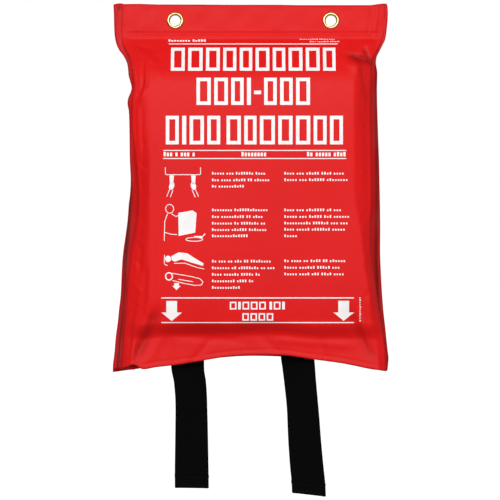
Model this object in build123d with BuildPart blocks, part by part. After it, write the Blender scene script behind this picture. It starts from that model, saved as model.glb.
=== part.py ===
# Fire blanket in a soft wall pouch, hung by two eyelets and drawn out by two pull tapes.
#
# Frame: origin midway between the two eyelets, in the plane of the wall behind the pouch.
# +X runs to the right along the header, +Z is up, and the front of the pouch faces -Y.
# The pouch is a front and a back panel with a folded gusset at each side, open at the bottom.
# The blanket inside is a folded packet that slides down out of the mouth, and the two tapes
# are sewn to its front face, turn in under it and hang out of the mouth.

import os
from math import atan2, degrees, hypot
from typing import NamedTuple

from build123d import *

os.makedirs("parts", exist_ok=True)

# ---------------------------------------------------------------- driving dimensions, mm
cloth = 0.6  # coated fabric of the pouch
weld_gap = 0.1  # between two pouch pieces that are welded together

eyelet_spacing = 140.0
eyelet_bore_radius = 4.75
barrel_radius = 5.2
flange_radius = 7.75
flange_height = 1.5
clinch_radius = 6.7
clinch_height = 0.45
washer_thickness = 0.55
eyelet_hole_radius = barrel_radius + 0.05

header_top = 14.5
header_foot = -13.0
header_fold = 108.0  # how far in the gusset's fold lies, inside the header
header_back = -(washer_thickness + clinch_height)  # rear face of the header, off the wall
header_front = header_back - 4 * cloth
header_middle = (header_front + header_back) / 2

mouth_middle = -300.0  # the lower edge is bowed up in its middle
mouth_corner = -314.0
mouth_floor = -316.0  # the walls are drawn down to here, then trimmed to the bowed edge

packet_width = 200.0
packet_height = 228.0
packet_thickness = 26.0
packet_back = -1.2
packet_top = -48.0
packet_side_round = 11.0
packet_end_round = 8.0
packet_bottom = packet_top - packet_height
packet_front = packet_back - packet_thickness

tape_width = 30.5
tape_thickness = 1.4
sewn_length = 56.0  # of each tape, up the front of the packet
sewn_box = 32.0  # height of the crossed box of stitches at its top
under_turn = 14.0  # how far below the packet the tape has turned in to its hanging depth
hang_depth = -9.0
hinge_height = -318.0  # where the tape swings, just below the mouth
hinge_gap = 0.3
end_fold = 11.0  # hem sewn at the tape's free end

thread = 0.5
stitch_length = 2.6
stitch_pitch = 3.8
stitch_inset = 3.0  # from a tape's edges
hem_inset = 12.0  # from the blanket's own edges


class Wall(NamedTuple):
    """One wall's plan at one height: half widths of its edges and its flat, and two depths."""

    edge: float
    flat: float
    seam: float
    face: float


class Level(NamedTuple):
    """The pouch's plan at one height, with the half width at the gussets' folds."""

    z: float
    front: Wall
    back: Wall
    fold: float


class Tape(NamedTuple):
    """One pull tape: where its middle is sewn on, and where its free end hangs."""

    side: str
    x: float
    end_x: float
    end_z: float


header_lip = cloth + weld_gap / 2  # how far the header's two edges are pressed back
header_front_wall = Wall(119.5, 115.5, header_front + header_lip, header_front)
header_back_wall = Wall(124.0, 120.0, header_back - header_lip, header_back)
levels = [
    Level(header_top, header_front_wall, header_back_wall, header_fold),
    Level(header_foot, header_front_wall, header_back_wall, header_fold),
    Level(-28.0, Wall(118.0, 100.0, -7.0, -13.0), Wall(120.0, 104.0, -4.0, 0.0), 105.0),
    Level(-40.0, Wall(110.5, 94.0, -12.0, -23.0), Wall(114.5, 100.0, -7.0, 0.0), 102.5),
    Level(-54.0, Wall(106.5, 90.0, -15.5, -30.0), Wall(112.0, 98.0, -8.0, 0.0), 101.8),
    Level(-185.0, Wall(105.5, 88.0, -15.5, -31.0), Wall(112.0, 98.0, -8.0, 0.0), 101.8),
    Level(-255.0, Wall(111.0, 92.0, -15.5, -31.0), Wall(117.5, 100.0, -8.0, 0.0), 102.5),
    Level(mouth_floor, Wall(120.0, 98.0, -15.5, -31.0), Wall(124.0, 104.0, -8.0, 0.0), 107.0),
]

tapes = [
    Tape("left", -58.5, -55.5, -419.5),
    Tape("right", 40.5, 50.5, -427.0),
]


def save(part, name):
    """Label a finished piece and write it as its own STEP file."""
    part.label = name
    export_step(part, f"parts/{name}.step")


def wall_outline(wall):
    """A wall's plan: a flat middle and an elliptical corner back to each seam."""
    forward = wall.face < wall.seam
    left_corner, right_corner = (180, 270) if forward else (90, 0)
    for skin in (0.0, cloth):
        y = wall.face + skin if forward else wall.face - skin
        reach = wall.edge - wall.flat - skin
        rise = abs(wall.face - wall.seam) - skin
        EllipticalCenterArc((-wall.flat, wall.seam), reach, rise, left_corner)
        Line((-wall.flat, y), (wall.flat, y))
        EllipticalCenterArc((wall.flat, wall.seam), reach, rise, right_corner)
    Line((-wall.edge, wall.seam), (cloth - wall.edge, wall.seam))
    Line((wall.edge, wall.seam), (wall.edge - cloth, wall.seam))


def gusset_outline(side, level):
    """A gusset's plan: two leaves that meet in a fold pointing into the pouch."""
    front, back = level.front.seam + weld_gap, level.back.seam - weld_gap
    middle = (front + back) / 2
    leaf = cloth - weld_gap
    points = [
        (level.front.edge, front),
        (level.fold, middle - leaf),
        (level.fold, middle + leaf),
        (level.back.edge, back),
        (level.back.edge, back - leaf + weld_gap),
        (level.fold + 2 * cloth, middle),
        (level.front.edge, front + leaf - weld_gap),
    ]
    Polyline(*[(side * x, y) for x, y in points], close=True)


def trim_to_mouth():
    """Bow the lower edge of a wall up in its middle."""
    rise = mouth_middle - mouth_corner
    half_width = levels[-1].back.edge
    radius = (half_width**2 + rise**2) / (2 * rise)
    with BuildSketch(Plane.XZ) as below_mouth:
        with Locations((0, mouth_middle - radius)):
            Circle(radius)
    extrude(below_mouth.sketch, amount=2 * packet_thickness, both=True, mode=Mode.SUBTRACT)


def cut_eyelet_holes():
    """The two holes through a layer of the header that the grommet barrels pass."""
    with BuildSketch(Plane.XZ) as holes:
        with GridLocations(eyelet_spacing, 1, 2, 1):
            Circle(eyelet_hole_radius)
    extrude(holes.sketch, amount=packet_thickness, both=True, mode=Mode.SUBTRACT)


def stitch_places(start, end):
    """Places and angle of the stitches along one straight seam seen from the front."""
    run = hypot(end[0] - start[0], end[1] - start[1])
    count = int((run - stitch_length) // stitch_pitch)
    angle = degrees(atan2(end[1] - start[1], end[0] - start[0]))
    places = []
    for i in range(count + 1):
        share = 0.5 if count == 0 else (stitch_length / 2 + i * (run - stitch_length) / count) / run
        x = start[0] + share * (end[0] - start[0])
        z = start[1] + share * (end[1] - start[1])
        places.append(Location((x, z, 0), (0, 0, angle)))
    return places


def sew(seams, face):
    """Lay raised stitches along straight seams on a face at depth `face` from the wall."""
    with BuildSketch(Plane.XZ.offset(-face)) as stitches:
        for start, end in seams:
            with Locations(*stitch_places(start, end)):
                SlotOverall(stitch_length, thread)
    extrude(stitches.sketch, amount=thread / 2)


# ---------------------------------------------------------------- pouch: front and back panels
with BuildPart() as front_panel:
    for level in levels:
        with BuildSketch(Plane.XY.offset(level.z)):
            with BuildLine():
                wall_outline(level.front)
            make_face()
    loft(ruled=True)
    trim_to_mouth()
    cut_eyelet_holes()
save(front_panel.part, "front_panel")

with BuildPart() as back_panel:
    for level in levels:
        with BuildSketch(Plane.XY.offset(level.z)):
            with BuildLine():
                wall_outline(level.back)
            make_face()
    loft(ruled=True)
    trim_to_mouth()
    cut_eyelet_holes()
save(back_panel.part, "back_panel")

# ---------------------------------------------------------------- pouch: side gussets
for name, side in (("left_gusset", -1), ("right_gusset", 1)):
    with BuildPart() as gusset:
        for level in levels:
            with BuildSketch(Plane.XY.offset(level.z)):
                with BuildLine():
                    gusset_outline(side, level)
                make_face()
        loft(ruled=True)
        trim_to_mouth()
    save(gusset.part, name)

# ---------------------------------------------------------------- pouch: header and its eyelets
with BuildPart() as header_strip:
    with BuildSketch(Plane.XZ.offset(-header_middle)):
        with Locations((0, (header_top + header_foot) / 2)):
            Rectangle(2 * (header_fold - cloth), header_top - header_foot - 2 * cloth)
    extrude(amount=cloth - weld_gap, both=True)
    cut_eyelet_holes()
save(header_strip.part, "header_strip")

for side, x in (("left", -eyelet_spacing / 2), ("right", eyelet_spacing / 2)):
    eyelet_axis = Axis((x, 0, 0), (0, 1, 0))
    with BuildPart() as grommet:
        with BuildSketch():
            with BuildLine():
                lip = header_front - flange_height
                crown = (eyelet_bore_radius + flange_radius) / 2
                Line((x + eyelet_bore_radius, 0), (x + eyelet_bore_radius, header_front))
                ThreePointArc(
                    (x + eyelet_bore_radius, header_front),
                    (x + crown, lip),
                    (x + flange_radius, header_front),
                )
                Polyline(
                    (x + flange_radius, header_front),
                    (x + barrel_radius, header_front),
                    (x + barrel_radius, -clinch_height),
                    (x + clinch_radius, -clinch_height),
                )
                ThreePointArc(
                    (x + clinch_radius, -clinch_height),
                    (x + clinch_radius - clinch_height / 4, -clinch_height / 4),
                    (x + clinch_radius - clinch_height, 0),
                )
                Line((x + clinch_radius - clinch_height, 0), (x + eyelet_bore_radius, 0))
            make_face()
        revolve(axis=eyelet_axis)
    save(grommet.part, f"{side}_eyelet_grommet")

    with BuildPart() as washer:
        with BuildSketch(Plane.XZ.offset(clinch_height)):
            with Locations((x, 0)):
                Circle(flange_radius)
                Circle(eyelet_hole_radius, mode=Mode.SUBTRACT)
        extrude(amount=washer_thickness)
        chamfer(washer.edges().filter_by(GeomType.CIRCLE).sort_by(Axis.Y)[-2:].sort_by(SortBy.RADIUS)[-1], 0.3)
    save(washer.part, f"{side}_eyelet_washer")

# ---------------------------------------------------------------- blanket packet
with BuildPart() as folded_blanket:
    with BuildSketch(Plane.XY.offset(packet_bottom)):
        with Locations((0, (packet_front + packet_back) / 2)):
            RectangleRounded(packet_width, packet_thickness, packet_side_round)
    extrude(amount=packet_height)
    fillet(folded_blanket.faces().filter_by(Axis.Z).edges(), packet_end_round)
save(folded_blanket.part, "folded_blanket")

with BuildPart() as hem_stitching:
    seam_x = packet_width / 2 - hem_inset
    seam_foot, seam_head = packet_bottom + hem_inset, packet_top - hem_inset
    stops = [-seam_x]
    for tape in tapes:
        beside = tape_width / 2 + thread
        stops += [tape.x - beside, tape.x + beside]
    stops.append(seam_x)
    foot_seams = [((a, seam_foot), (b, seam_foot)) for a, b in zip(stops[::2], stops[1::2])]
    side_seam = ((-seam_x, seam_foot + stitch_pitch), (-seam_x, seam_head))
    sew([*foot_seams, side_seam], packet_front)
save(hem_stitching.part, "hem_stitching")

# ---------------------------------------------------------------- pull tapes
sewn_foot = packet_bottom + packet_end_round
sewn_head = sewn_foot + sewn_length
tape_front = packet_front - tape_thickness
half_tape = tape_thickness / 2
hang_front = hang_depth - half_tape
for tape in tapes:
    with BuildPart() as tape_top:
        with BuildSketch(Plane.YZ.offset(tape.x - tape_width / 2)):
            with BuildLine():
                FilletPolyline(
                    (packet_front - half_tape, sewn_head),
                    (packet_front - half_tape, sewn_foot - packet_end_round / 2),
                    (hang_depth, packet_bottom - under_turn),
                    (hang_depth, hinge_height + half_tape + hinge_gap),
                    radius=packet_end_round,
                )
            trace(line_width=tape_thickness)
        extrude(amount=tape_width)
    save(tape_top.part, f"{tape.side}_tape_top")

    with BuildPart() as tape_stitching:
        half_box = tape_width / 2 - stitch_inset
        left, right = tape.x - half_box, tape.x + half_box
        high = sewn_head - stitch_inset
        low = high - sewn_box
        foot = sewn_foot + stitch_inset
        corners = [(left, low), (right, low), (right, high), (left, high)]
        sides = list(zip(corners, corners[1:] + corners[:1]))
        crosses = [(corners[0], corners[2]), (corners[1], corners[3])]
        sew([*sides, *crosses, ((left, foot), (right, foot))], tape_front)
    save(tape_stitching.part, f"{tape.side}_tape_stitching")

    lean = (tape.end_x - tape.x) / (hinge_height - tape.end_z)
    with BuildPart() as pull_tape:
        layers = (
            (hinge_height + half_tape, hang_depth + half_tape, tape_thickness),
            (tape.end_z + end_fold, hang_depth + half_tape + tape_thickness, 2 * tape_thickness),
        )
        for top, back, thickness in layers:
            top_x = tape.x + lean * (hinge_height - top)
            with BuildSketch(Plane.XZ.offset(-back)):
                with BuildLine():
                    Polyline(
                        (top_x - tape_width / 2, top),
                        (top_x + tape_width / 2, top),
                        (tape.end_x + tape_width / 2, tape.end_z),
                        (tape.end_x - tape_width / 2, tape.end_z),
                        close=True,
                    )
                make_face()
            extrude(amount=thickness)
        fillet(pull_tape.edges().group_by(Axis.Z)[-1].filter_by(Axis.X), 0.98 * half_tape)
    save(pull_tape.part, f"{tape.side}_pull_tape")

    with BuildPart() as end_stitching:
        rows = []
        for z in (tape.end_z + stitch_inset, tape.end_z + end_fold - stitch_inset):
            row_x = tape.end_x - lean * (z - tape.end_z)
            rows.append(((row_x - half_box, z), (row_x + half_box, z)))
        sew(rows, hang_front)
    save(end_stitching.part, f"{tape.side}_end_stitching")
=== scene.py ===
import math

import bmesh
import bpy
import numpy as np
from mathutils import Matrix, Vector


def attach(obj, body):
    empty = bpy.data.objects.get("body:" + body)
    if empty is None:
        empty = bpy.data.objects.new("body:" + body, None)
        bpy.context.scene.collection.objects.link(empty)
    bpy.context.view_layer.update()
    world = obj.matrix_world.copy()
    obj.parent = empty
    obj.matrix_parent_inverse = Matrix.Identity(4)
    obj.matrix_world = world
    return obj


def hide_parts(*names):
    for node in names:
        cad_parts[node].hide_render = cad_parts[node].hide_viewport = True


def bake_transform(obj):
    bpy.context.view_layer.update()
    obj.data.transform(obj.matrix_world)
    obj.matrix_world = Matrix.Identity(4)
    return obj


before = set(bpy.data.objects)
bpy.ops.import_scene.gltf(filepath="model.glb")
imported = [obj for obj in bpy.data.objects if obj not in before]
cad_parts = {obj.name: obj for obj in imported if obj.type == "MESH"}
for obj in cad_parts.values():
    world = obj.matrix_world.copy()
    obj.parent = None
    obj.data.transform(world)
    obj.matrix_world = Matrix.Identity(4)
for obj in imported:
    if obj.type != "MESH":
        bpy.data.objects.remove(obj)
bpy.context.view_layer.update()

MM = 0.001

# ---------------------------------------------------------------- curves that shape the pouch, mm
# Each is a list of (height, value) points or, where it says so, of (x, value) points.
LEFT_OUTLINE = [
    (16.2, -121.8), (14.5, -125.6), (4, -125.2), (-5.6, -125), (-12.8, -124.6), (-20, -123.4),
    (-26, -121.2), (-31, -117.4), (-36.5, -114.2), (-42, -112.6), (-50, -111.8), (-56, -110.2),
    (-61.5, -109), (-66, -110.2), (-71, -112.3), (-75, -112.8), (-82, -111.6), (-95, -111.1),
    (-125, -110.7), (-144, -109.9), (-156, -110.4), (-166, -111.6), (-178, -112.5), (-194, -114.5),
    (-206, -116.3), (-219, -117.5), (-233, -118.2), (-247, -118.9), (-259, -120.3), (-270, -121.4),
    (-284, -123.3), (-297, -124.4), (-310, -125.9), (-316.5, -126),
]
RIGHT_OUTLINE = [
    (15.5, 119), (13.5, 120.8), (5, 121.2), (-7.4, 120.3), (-17.3, 118.9), (-23.6, 116.1), (-28.6, 113.4),
    (-33.7, 110.9), (-38.3, 110.3), (-47.9, 111.5), (-62.3, 111.2), (-107, 112.3), (-126, 113),
    (-144, 113.4), (-188, 114.1), (-207, 114), (-226, 114.6), (-242, 115.5), (-263, 117.1), (-275, 118.5),
    (-296, 120.7), (-304, 121.6), (-311, 121), (-316.5, 120.4),
]
LEFT_RIDGE = [
    (16, -117.6), (4, -118.2), (-12, -118.4), (-20, -117.6), (-27, -114.8), (-34, -111), (-44, -108.6),
    (-60, -106.6), (-75, -108.4), (-100, -108.2), (-121, -105.6), (-139, -103.8), (-160, -102.8),
    (-172, -102.9), (-197, -106.3), (-211, -109.3), (-229, -111.7), (-251, -113.5), (-269, -114.9),
    (-287, -116.2), (-305, -117.6), (-316, -118.2),
]
RIGHT_RIDGE = [
    (16, 118), (4, 118.6), (-8, 118), (-17, 116.4), (-24, 113.2), (-31, 109.4), (-37, 106.8), (-50, 105.8),
    (-80, 105.4), (-152, 106.1), (-193, 105), (-215, 106.3), (-242, 109.7), (-256, 111.5), (-269, 114),
    (-283, 116.7), (-300, 118.6), (-316, 119.3),
]
LEFT_FACE = [
    (16, -112), (-12, -110), (-30, -101), (-50, -92), (-80, -89.5), (-130, -88), (-165, -88), (-250, -89),
    (-268, -92), (-283, -98), (-300, -106), (-316, -110),
]
RIGHT_FACE = [
    (16, 111), (-12, 108), (-25, 99), (-38, 91), (-60, 89), (-150, 88.6), (-164, 89.4), (-184, 94),
    (-206, 97), (-224, 99), (-242, 102.4), (-262, 104), (-283, 107), (-300, 110), (-316, 112),
]
FACE_DEPTH = [
    (16, 3.4), (-10.5, 3.4), (-12.4, 3.3), (-16, 4.3), (-22, 8.0), (-30, 14.4), (-40, 21.4), (-48, 25.7),
    (-57, 28.2), (-72, 29.6), (-95, 30.4), (-150, 30.9), (-230, 30.8), (-250, 30.5), (-262, 29.9),
    (-270, 29.4), (-290, 29.6), (-316, 31.2),
]
LEFT_RIDGE_DEPTH = [
    (16, 2.7), (-12, 2.8), (-20, 4.8), (-30, 10), (-42, 18), (-56, 22.6), (-120, 23.4), (-170, 22),
    (-215, 19), (-250, 17), (-285, 14.8), (-316, 15.6),
]
RIGHT_RIDGE_DEPTH = [
    (16, 2.7), (-12, 2.8), (-20, 4.6), (-30, 8.4), (-42, 13.4), (-56, 17), (-120, 18.6), (-170, 21),
    (-215, 21), (-250, 20), (-285, 18.6), (-316, 19),
]
FOOT_DROP = [  # how far the panel drops back under the foot of the packet, by x
    (-112, 6.5), (-95, 8.2), (-75, 10.2), (-45, 12.0), (-15, 11.8), (15, 10.4), (45, 9.0), (75, 7.6),
    (95, 6.6), (112, 5.2),
]
BACK_EDGE_DEPTH = [(16, 1.7), (-12, 1.8), (-22, 2.6), (-36, 5), (-54, 7.4), (-80, 8), (-250, 8), (-316, 8)]
LEFT_FOLD = [
    (16, -109), (-12, -109), (-28, -105.6), (-40, -102.8), (-54, -101.9), (-255, -102.6), (-316, -107),
]
TOP_EDGE = [  # by x
    (-126, 14.4), (-122, 15.4), (-119, 15.7), (-116, 14.9), (-104, 15.0), (-84, 14.5), (-50, 14.4),
    (-20, 14.2), (20, 14.2), (60, 13.4), (84, 13.2), (104, 13.8), (113, 14.9), (118, 15.4), (121, 15),
]
FRONT_FOOT = [  # by x
    (-119, -312.3), (-114, -311.2), (-107, -308.8), (-98, -312.9), (-87.4, -311.2), (-74, -309.7),
    (-61, -307.9), (-45.5, -305.3), (-22.6, -301.8), (-2.8, -300.3), (16, -300), (28, -300.5),
    (55.3, -304.3), (78.2, -307.4), (92.3, -310.1), (104.3, -312.6), (112, -313.6), (120, -315),
]
BACK_FOOT = [  # by x
    (-127, -316), (-110, -314), (-60, -306.5), (0, -301.5), (60, -304.5), (105, -312), (123, -315),
]

EYELET_X = 70.0
HOLE_RADIUS = 6.2
CLOTH = 0.6  # thickness of the pouch's fabric


def through(points, at):
    """A smooth line through (place, value) points, which never swings past them."""
    table = np.array(sorted(points), float)
    place, value = table[:, 0], table[:, 1]
    at = np.clip(at, place[0], place[-1])
    run = np.diff(place)
    rise = np.diff(value) / run
    slope = np.zeros_like(value)
    slope[0], slope[-1] = rise[0], rise[-1]
    turns = rise[:-1] * rise[1:] > 0
    before, after = np.where(turns, rise[:-1], 1.0), np.where(turns, rise[1:], 1.0)
    near, far = 2 * run[1:] + run[:-1], run[1:] + 2 * run[:-1]
    slope[1:-1] = np.where(turns, (near + far) / (near / before + far / after), 0.0)
    i = np.clip(np.searchsorted(place, at, side="right") - 1, 0, len(run) - 1)
    s = (at - place[i]) / run[i]
    return (value[i] * (1 + 2 * s) * (1 - s) ** 2 + slope[i] * run[i] * s * (1 - s) ** 2
            + value[i + 1] * s * s * (3 - 2 * s) - slope[i + 1] * run[i] * s * s * (1 - s))


def ease(low, high, at):
    """0 before low, 1 after high, and a smooth step between; low may be the larger."""
    t = np.clip((at - low) / (high - low), 0, 1)
    return t * t * (3 - 2 * t)


def bell(at, middle, width):
    """1 at the middle, falling smoothly to 0 on both sides."""
    return np.exp(-((at - middle) / width) ** 2)


def soft_bend(share, softness):
    """A rise from 0 to 1 that starts gently; the larger the softness, the rounder the start."""
    return (np.sqrt(share**2 + softness**2) - softness) / (np.sqrt(1 + softness**2) - softness)


def either_side(x, left, right, z):
    """The left or the right curve's value at each height, by the side that x is on."""
    return np.where(x < 0, through(left, z), through(right, z))


def run_along(path):
    """Distance along a path at each of its points."""
    return np.r_[0, np.cumsum(np.hypot(*np.diff(path, axis=0).T))]


# ---------------------------------------------------------------- soft folds in the front panel
# Each is (x0, z0, x1, z1, half width, height): a ridge where height is positive, a valley where negative.
FOLDS = [
    # left shoulder, where the header's flat edge gives way to the full pouch
    (-95, -40, -95.4, -58, 1.7, 1.0), (-95.4, -58, -99, -70, 1.7, 1.0), (-99, -70, -106, -77, 1.7, 0.9),
    (-98, -42, -98.4, -58, 1.5, -0.9), (-98.4, -58, -102, -68, 1.5, -0.9),
    (-108.4, -38, -106.6, -60, 1.3, -1.2), (-110, -63, -103.6, -67, 1.6, -1.3),
    (-107.4, -80, -106.6, -116, 1.3, -0.9), (-103.5, -82, -102.6, -124, 1.7, 0.7),
    (-99, -84, -98.6, -112, 1.6, -0.5), (-114, -20, -103, -33, 1.6, -1.1), (-107, -26, -92, -36, 2.2, 0.9),
    (-101, -24, -88, -27, 2.2, -0.6), (-92, -34, -84, -50, 3.2, 0.6), (-89, -30, -79, -40, 3.0, -0.5),
    # right shoulder and its dimple
    (92, -34, 104, -38, 3.6, -4.2), (101, -29, 106.5, -40, 2.0, -3.0), (97, -23, 110, -20, 2.6, 1.2),
    (89, -41, 101, -47, 3.4, 1.6), (85, -25, 91, -38, 4.0, 1.1), (97, -45, 101, -70, 2.2, -1.5),
    (109, -17, 114, -27, 1.8, -1.2), (104, -50, 101, -72, 1.8, 0.8),
    # left flank
    (-98, -112, -101, -158, 2.2, -0.9), (-94, -150, -97, -215, 3.2, 0.7),
    (-100, -206, -106, -262, 2.4, -1.2), (-103, -228, -108, -300, 2.2, 1.0),
    (-96, -230, -99, -262, 3.0, -0.8), (-108, -262, -112, -309, 2.0, -1.1),
    (-105, -124, -99, -131, 1.4, -0.8), (-104, -129, -97, -137, 1.5, 0.7),
    (-103.5, -146, -98, -150, 1.4, -0.7), (-102, -158, -96, -165, 1.6, 0.6),
    (-104, -176, -98, -182, 1.5, -0.8), (-106, -192, -99, -201, 1.7, 0.8),
    (-108, -212, -101, -219, 1.6, -0.8), (-110, -232, -103, -241, 1.7, 0.7),
    (-112, -250, -105, -256, 1.6, -0.8),
    # right flank
    (-92, -120, -92.5, -250, 2.2, 0.4), (-88, -120, -88, -255, 2.4, -0.25), (104, -92, 99, -99, 1.6, -0.6),
    (103.5, -128, 98, -137, 1.8, 0.5), (103, -168, 97, -180, 1.8, -0.6), (104.5, -204, 100, -216, 1.8, 0.6),
    (107, -236, 102, -246, 1.8, -0.7), (97, -100, 97.5, -150, 2.6, 0.35),
    # skirt below the packet
    (-90, -270, -101, -294, 5.0, -2.6), (-82, -284, -90, -300, 4.0, 0.5), (-60, -284, -20, -287, 3.4, -0.6),
    (-9.4, -293, -8.6, -302, 0.9, 0.5), (30, -287, 80, -291, 4.0, 0.8), (90, -270, 104, -298, 4.0, -1.5),
    (98, -272, 106, -306, 2.6, 0.9), (-40, -289, -54, -306, 3.4, -0.8), (60, -289, 66, -307, 3.4, -0.7),
    (-76, -284, -70, -306, 3.0, -0.6), (10, -286, 24, -300, 4.0, -0.5),
    # header band
    (-86, 13, -84, -9, 3.0, -0.45), (-50, 6, -54, -10, 5.0, 0.3), (108, 14, 104, -10, 2.6, -0.6),
    (112, 12, 109, -14, 2.0, 0.7), (30, 10, 34, -10, 9.0, -0.3), (-104, 10, -103, -8, 4.0, 0.4),
    (-93, 8, -95, -8, 2.2, -0.3), (88, 6, 92, -9, 3.0, -0.35),
]
# Each is (wavelength along x, along z, phase, height) of a broad, faint wave in the loose fabric.
WAVES = [(210, 330, 0.4, 0.28), (140, -190, 2.1, 0.20), (95, 240, 4.4, 0.14), (61, -130, 1.2, 0.08),
         (47, 83, 3.0, 0.05)]

# Raised and pressed lines, each (middle, half width, height) across the line: the welded side seam by
# distance from the ridge, the weld at the header's foot by height, and the hem by height above the mouth.
SIDE_WELD = [(1.6, 1.2, 0.14), (3.8, 1.1, -0.14)]
HEADER_WELD = [(-11.2, 0.9, -0.42), (-13.8, 1.5, 0.24), (-17.0, 1.0, -0.34)]
MOUTH_HEM = [(1.6, 1.2, 0.3), (4.6, 0.8, -0.22)]

FOOT_BEND = 7.5  # half the height over which the panel bends in under the packet
LEFT_SOFTNESS, RIGHT_SOFTNESS = 0.55, 0.22  # of the bend from the face to each flank
FACE_CROWN = 0.9  # how far the face falls back from its middle to its sides
HELD_EDGE = 7.0  # how far in from the ridge the seam still holds the cloth flat
PUCKER_Z, PUCKER_PITCH, PUCKER_HEIGHT = -283.5, 4.3, 0.2
EDGE_PRESS = 0.55  # how far the top edge is pressed back onto the strip inside


def fold_relief(x, z, folds):
    """How far the folds lift the surface at each point."""
    lift = np.zeros_like(x)
    for x0, z0, x1, z1, half, height in folds:
        ax, az = x1 - x0, z1 - z0
        run = math.hypot(ax, az)
        along = ((x - x0) * ax + (z - z0) * az) / run
        past = np.maximum(np.maximum(-along, along - run), 0)
        aside = np.abs((x - x0) * az - (z - z0) * ax) / run
        near = (aside / half) ** 2 + (past / (2.2 * half)) ** 2
        lift += height * np.exp(-near)
    return lift


def wave_relief(x, z):
    return sum(height * np.sin(2 * math.pi * (x / wx + z / wz) + phase) for wx, wz, phase, height in WAVES)


def line_relief(at, lines):
    return sum(height * bell(at, middle, width) for middle, width, height in lines)


def foot_line(x):
    """Height at which the panel bends in under the packet."""
    slant = -276.2 - 2.6 * ease(-10, 60, x) - 3.0 * ease(-82, -100, x)
    return slant + 0.8 * np.sin(x / 27 + 0.8) + 0.6 * np.sin(x / 11.5)


def front_y(x, z):
    """Depth of the front panel's outer face at each (x, z)."""
    x, z = np.asarray(x, float), np.asarray(z, float)
    ridge = either_side(x, LEFT_RIDGE, RIGHT_RIDGE, z)
    face = either_side(x, LEFT_FACE, RIGHT_FACE, z)
    rim = either_side(x, LEFT_RIDGE_DEPTH, RIGHT_RIDGE_DEPTH, z)
    foot = foot_line(x)
    deep = through(FACE_DEPTH, z) - through(FOOT_DROP, x) * ease(foot + FOOT_BEND, foot - FOOT_BEND, z)
    across = np.clip((x - face) / (ridge - face), 0, 1.02)
    fall = soft_bend(across, np.where(x < 0, LEFT_SOFTNESS, RIGHT_SOFTNESS))
    crown = FACE_CROWN * np.clip(np.abs(x / face), 0, 1) ** 2 * ease(-14, -60, z)
    depth = deep - crown * (1 - fall) + (rim - deep) * fall
    # folds and waves, in the cloth that the seam leaves loose
    from_ridge = np.abs(ridge) - np.abs(x)
    loose = 1 - bell(np.maximum(from_ridge, 0), 0, HELD_EDGE)
    depth += (fold_relief(x, z, FOLDS) + ease(-14, -40, z) * wave_relief(x, z)) * loose
    # small waves in the header band
    header = ease(-10, -4, z) * ease(15, 9, z)
    slow, quick = np.sin(x / 9.5 + z / 7 + 1.2 * np.sin(x / 31)), np.sin(x / 4.6 - z / 5 + 2.0)
    depth += header * (0.16 * slow + 0.12 * quick)
    depth += ease(-6, -30, z) * line_relief(from_ridge, SIDE_WELD)
    depth += ease(-116, -108, x) * ease(117, 108, x) * line_relief(z, HEADER_WELD)
    depth += line_relief(z - through(FRONT_FOOT, x), MOUTH_HEM)
    # puckers under the foot of the packet
    pucker = PUCKER_HEIGHT * np.sin(2 * math.pi * x / PUCKER_PITCH) * bell(z, PUCKER_Z, 1.4)
    depth += pucker * ease(-58, -35, x) * ease(70, 30, x)
    depth -= EDGE_PRESS * ease(1.6, 0, through(TOP_EDGE, x) - z)
    return -depth


# ---------------------------------------------------------------- mesh helpers
def new_object(name, verts, faces, material, smooth=True):
    """A mesh object from points in mm."""
    mesh = bpy.data.meshes.new(name)
    mesh.from_pydata((np.asarray(verts, float) * MM).tolist(), [], [list(map(int, f)) for f in faces])
    mesh.materials.append(material)
    mesh.polygons.foreach_set("use_smooth", [smooth] * len(mesh.polygons))
    mesh.update()
    piece = bpy.data.objects.new(name, mesh)
    bpy.context.scene.collection.objects.link(piece)
    return piece


def face_outwards(piece):
    """Turns a closed piece's faces outwards."""
    work = bmesh.new()
    work.from_mesh(piece.data)
    bmesh.ops.recalc_face_normals(work, faces=work.faces)
    work.to_mesh(piece.data)
    work.free()


def shell(name, outer, thickness, material, keep=None):
    """A closed sheet from a grid of points on its outer face, which du x dv points out of."""
    rows, cols = outer.shape[:2]
    normal = np.cross(np.gradient(outer, axis=1), np.gradient(outer, axis=0))
    normal /= np.linalg.norm(normal, axis=2, keepdims=True)
    inner = outer - normal * thickness
    keep = np.ones((rows - 1, cols - 1), bool) if keep is None else keep
    padded = np.pad(keep, 1)
    far = rows * cols
    faces = []
    for r, c in np.argwhere(keep):
        a, b, d, e = r * cols + c, r * cols + c + 1, (r + 1) * cols + c + 1, (r + 1) * cols + c
        faces += [(a, b, d, e), (far + e, far + d, far + b, far + a)]
        for kept, p, q in ((padded[r, c + 1], a, b), (padded[r + 1, c + 2], b, d),
                           (padded[r + 2, c + 1], d, e), (padded[r + 1, c], e, a)):
            if not kept:
                faces.append((q, p, far + p, far + q))
    points = np.concatenate([outer.reshape(-1, 3), inner.reshape(-1, 3)])
    used = np.unique(np.concatenate([np.ravel(f) for f in faces]))
    order = np.full(len(points), -1)
    order[used] = np.arange(len(used))
    return new_object(name, points[used], [[order[i] for i in f] for f in faces], material)


def stops(*zones):
    """Places from zones of (start, end, number of steps) that follow each other."""
    return np.concatenate([np.linspace(a, b, n, endpoint=False) for a, b, n in zones] + [[zones[-1][1]]])


def eyelet_mask(x, z):
    """Which quads of a grid stay, away from the eyelets' holes."""
    cx = (x[:-1, :-1] + x[1:, 1:]) / 2
    cz = (z[:-1, :-1] + z[1:, 1:]) / 2
    return np.hypot(np.abs(cx) - EYELET_X, cz) > HOLE_RADIUS


def set_point_values(piece, name, values):
    layer = piece.data.attributes.new(name, "FLOAT", "POINT")
    layer.data.foreach_set("value", np.asarray(values, np.float32))


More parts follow.
